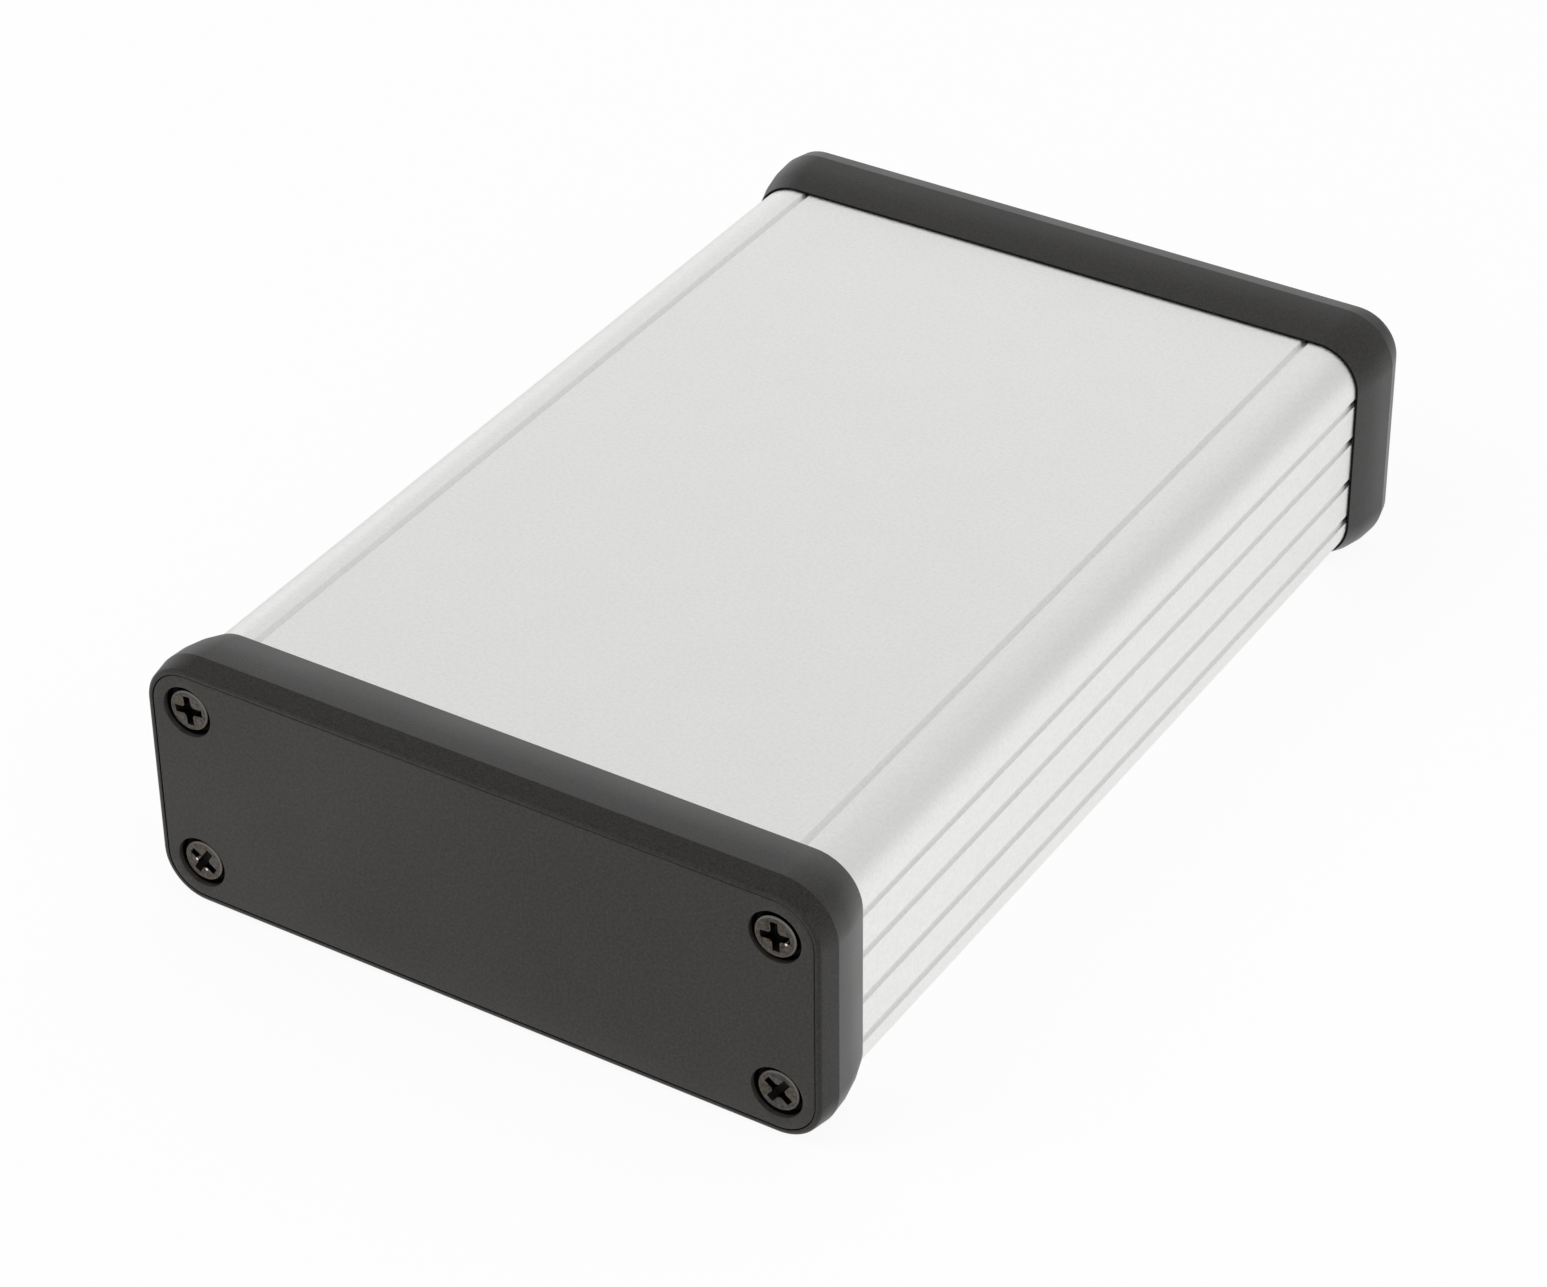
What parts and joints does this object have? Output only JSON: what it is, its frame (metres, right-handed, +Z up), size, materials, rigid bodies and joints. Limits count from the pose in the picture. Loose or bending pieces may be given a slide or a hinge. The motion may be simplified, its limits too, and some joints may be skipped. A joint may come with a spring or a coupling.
{
  "type": "extruded aluminium enclosure",
  "caption": "Slim extruded aluminium instrument case with a slide-out belly plate, flared moulded end bezels and flat end panels held by recessed cross-head screws.",
  "frame": {"origin": "middle of the underside of the whole case, on the surface that it stands on", "axes": "+Z up, -Y out of the front panel, +X to the right seen from the front"},
  "size_m": [0.0808, 0.1246, 0.0303],
  "materials": {
    "body_aluminium": "clear anodised, fine satin",
    "belly_aluminium": "clear anodised, fine satin",
    "bezel_plastic": "black, moulded satin",
    "panel_plastic": "black, moulded fine grain",
    "screw_steel": "dark plated, turned"
  },
  "bodies": {
    "root": {"body_extrusion": "body_aluminium", "belly_plate": "belly_aluminium", "front_bezel": "bezel_plastic", "rear_bezel": "bezel_plastic", "front_panel": "panel_plastic", "rear_panel": "panel_plastic", "front_screws": "screw_steel", "rear_screws": "screw_steel"}
  },
  "joints": []
}
